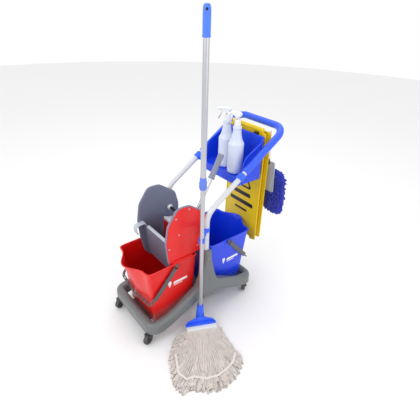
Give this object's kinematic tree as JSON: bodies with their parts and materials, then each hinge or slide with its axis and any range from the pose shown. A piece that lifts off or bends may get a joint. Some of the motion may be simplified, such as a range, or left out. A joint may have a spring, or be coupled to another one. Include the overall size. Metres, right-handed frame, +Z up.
{
  "type": "housekeeping cart",
  "caption": "Wheeled cleaning cart with mop buckets, press wringer, tool caddy, spray bottles, floor sign, duster and a clipped mop.",
  "frame": {"origin": "on the floor, midway between the two upright tubes", "axes": "+X the cart's right side, -Y its front with the red bucket, +Y the push handle, +Z up"},
  "size_m": [0.821, 0.9626, 1.574],
  "materials": {
    "grey_plastic": "satin moulded grey",
    "red_plastic": "semi-gloss red",
    "blue_plastic": "semi-gloss blue",
    "grip_blue": "soft blue sleeve",
    "white_tube": "white powder coat",
    "aluminium": "brushed tube",
    "chrome": "bright plated",
    "dark_steel": "dark zinc",
    "zinc_steel": "zinc plated",
    "wringer_grey": "satin blue grey",
    "white_plastic": "semi-gloss white",
    "black_plastic": "black nylon",
    "black_tyre": "black rubber",
    "lever_grey": "grey grip",
    "bottle_plastic": "translucent",
    "yellow_plastic": "semi-gloss yellow",
    "chenille": "blue chenille",
    "cotton_yarn": "twisted cotton"
  },
  "bodies": {
    "cart": {"base_tray": "grey_plastic", "tower_left": "grey_plastic", "tower_right": "grey_plastic", "handle_tube": "white_tube", "handle_grip": "grip_blue", "frame_screws": "zinc_steel", "tube_end_caps": "black_plastic", "castor_plates": "zinc_steel", "caddy": "blue_plastic", "caddy_clips": "blue_plastic", "sign_hooks": "black_plastic", "mop_clip": "blue_plastic"},
    "castor_fr": {"castor_fork_fr": "black_plastic"},
    "wheel_fr": {"castor_hub_fr": "black_plastic", "castor_tyre_fr": "black_tyre"},
    "castor_fl": {"castor_fork_fl": "black_plastic"},
    "wheel_fl": {"castor_hub_fl": "black_plastic", "castor_tyre_fl": "black_tyre"},
    "castor_rr": {"castor_fork_rr": "black_plastic"},
    "wheel_rr": {"castor_hub_rr": "black_plastic", "castor_tyre_rr": "black_tyre"},
    "castor_rl": {"castor_fork_rl": "black_plastic"},
    "wheel_rl": {"castor_hub_rl": "black_plastic", "castor_tyre_rl": "black_tyre"},
    "red_bucket": {"red_bucket": "red_plastic"},
    "red_bail": {"red_bail": "grey_plastic"},
    "blue_bucket": {"blue_bucket": "blue_plastic"},
    "blue_bail": {"blue_bail": "grey_plastic"},
    "wringer": {"wringer_plate_left": "wringer_grey", "wringer_plate_right": "wringer_grey", "wringer_cover_left": "red_plastic", "wringer_cover_right": "red_plastic", "wringer_screws": "zinc_steel", "front_press_plate": "wringer_grey", "front_plate_strip": "white_plastic", "shaft_bushes": "white_plastic"},
    "lever": {"wringer_shaft": "dark_steel", "lever_tube": "chrome", "lever_grip": "lever_grey", "lever_cam": "dark_steel"},
    "jaw": {"press_jaw": "red_plastic", "jaw_bracket": "white_plastic"},
    "mop": {"lower_pole": "aluminium", "clamp_body": "blue_plastic", "mop_yarn": "cotton_yarn"},
    "mop_upper": {"upper_pole": "aluminium", "pole_grip": "grip_blue"},
    "mop_collar": {"twist_collar": "blue_plastic"},
    "mop_jaw": {"clamp_jaw": "white_plastic"},
    "bottle_a": {"bottle_a": "bottle_plastic", "sprayer_a": "white_plastic"},
    "trigger_a": {"trigger_a": "white_plastic"},
    "bottle_b": {"bottle_b": "bottle_plastic", "sprayer_b": "white_plastic"},
    "trigger_b": {"trigger_b": "white_plastic"},
    "sign": {"sign_leaf_front": "yellow_plastic", "sign_leaf_rear": "yellow_plastic", "sign_grip": "yellow_plastic"},
    "duster": {"duster_handle": "white_plastic", "duster_pad": "chenille"}
  },
  "joints": [
    {"name": "swivel_fr", "type": "hinge", "parent": "cart", "child": "castor_fr", "pos_m": [0.161, -0.345, 0.08], "axis": [0, 0, 1], "continuous": true},
    {"name": "spin_fr", "type": "hinge", "parent": "castor_fr", "child": "wheel_fr", "pos_m": [0.17023, -0.37037, 0.031], "axis": [0.9397, 0.342, 0], "continuous": true},
    {"name": "swivel_fl", "type": "hinge", "parent": "cart", "child": "castor_fl", "pos_m": [-0.161, -0.345, 0.08], "axis": [0, 0, 1], "continuous": true},
    {"name": "spin_fl", "type": "hinge", "parent": "castor_fl", "child": "wheel_fl", "pos_m": [-0.15177, -0.37037, 0.031], "axis": [0.9397, 0.342, 0], "continuous": true},
    {"name": "swivel_rr", "type": "hinge", "parent": "cart", "child": "castor_rr", "pos_m": [0.161, 0.334, 0.08], "axis": [0, 0, 1], "continuous": true},
    {"name": "spin_rr", "type": "hinge", "parent": "castor_rr", "child": "wheel_rr", "pos_m": [0.17836, 0.31332, 0.031], "axis": [0.766, 0.6428, 0], "continuous": true},
    {"name": "swivel_rl", "type": "hinge", "parent": "cart", "child": "castor_rl", "pos_m": [-0.161, 0.334, 0.08], "axis": [0, 0, 1], "continuous": true},
    {"name": "spin_rl", "type": "hinge", "parent": "castor_rl", "child": "wheel_rl", "pos_m": [-0.16753, 0.3078, 0.031], "axis": [0.9703, -0.2419, 0], "continuous": true},
    {"name": "red_bucket_lift", "type": "slide", "parent": "cart", "child": "red_bucket", "axis": [0, 0, 1], "range_m": [0, 0.35]},
    {"name": "red_bail_swing", "type": "hinge", "parent": "red_bucket", "child": "red_bail", "pos_m": [0, -0.172, 0.411], "axis": [-1, 0, 0], "range_deg": [0, 115]},
    {"name": "blue_bucket_lift", "type": "slide", "parent": "cart", "child": "blue_bucket", "axis": [0, 0, 1], "range_m": [0, 0.22]},
    {"name": "blue_bail_swing", "type": "hinge", "parent": "blue_bucket", "child": "blue_bail", "pos_m": [0, 0.184, 0.411], "axis": [1, 0, 0], "range_deg": [0, 14]},
    {"name": "wringer_lift", "type": "slide", "parent": "red_bucket", "child": "wringer", "axis": [0, 0, 1], "range_m": [0, 0.4]},
    {"name": "lever_pull", "type": "hinge", "parent": "wringer", "child": "lever", "pos_m": [0, -0.02, 0.573], "axis": [1, 0, 0], "range_deg": [0, 75]},
    {"name": "jaw_press", "type": "hinge", "parent": "wringer", "child": "jaw", "pos_m": [0, -0.066, 0.335], "axis": [1, 0, 0], "range_deg": [0, 26.25]},
    {"name": "mop_lift", "type": "slide", "parent": "cart", "child": "mop", "axis": [0, 0, 1], "range_m": [0, 0.4]},
    {"name": "pole_extend", "type": "slide", "parent": "mop", "child": "mop_upper", "axis": [0, 0, 1], "range_m": [-0.25, 0.2]},
    {"name": "collar_twist", "type": "hinge", "parent": "mop_upper", "child": "mop_collar", "pos_m": [0.238, -0.079, 0.886], "axis": [0, 0, 1], "range_deg": [0, 90]},
    {"name": "bottle_a_lift", "type": "slide", "parent": "cart", "child": "bottle_a", "axis": [0, 0, 1], "range_m": [0, 0.35]},
    {"name": "trigger_a_pull", "type": "hinge", "parent": "bottle_a", "child": "trigger_a", "pos_m": [0.04526, 0.24896, 1.0833], "axis": [0.7431, -0.6691, 0], "range_deg": [0, 18], "stiffness_Nm_per_rad": 0.05, "springref_deg": -17.19},
    {"name": "bottle_b_lift", "type": "slide", "parent": "cart", "child": "bottle_b", "axis": [0, 0, 1], "range_m": [0, 0.35]},
    {"name": "trigger_b_pull", "type": "hinge", "parent": "bottle_b", "child": "trigger_b", "pos_m": [-0.05274, 0.26696, 1.0833], "axis": [0.7431, -0.6691, 0], "range_deg": [0, 18], "stiffness_Nm_per_rad": 0.05, "springref_deg": -17.19},
    {"name": "sign_lift", "type": "slide", "parent": "cart", "child": "sign", "axis": [0, 0, 1], "range_m": [0, 0.35]},
    {"name": "duster_lift", "type": "slide", "parent": "cart", "child": "duster", "axis": [0, 0, 1], "range_m": [0, 0.12]},
    {"name": "mop_jaw_open", "type": "hinge", "parent": "mop", "child": "mop_jaw", "pos_m": [0.2753, -0.09719, 0.0315], "axis": [0.4384, 0.8988, 0], "range_deg": [-35, 0]}
  ],
  "couplings": [
    {"joint": "jaw_press", "follows": "lever_pull", "ratio": 0.35}
  ]
}
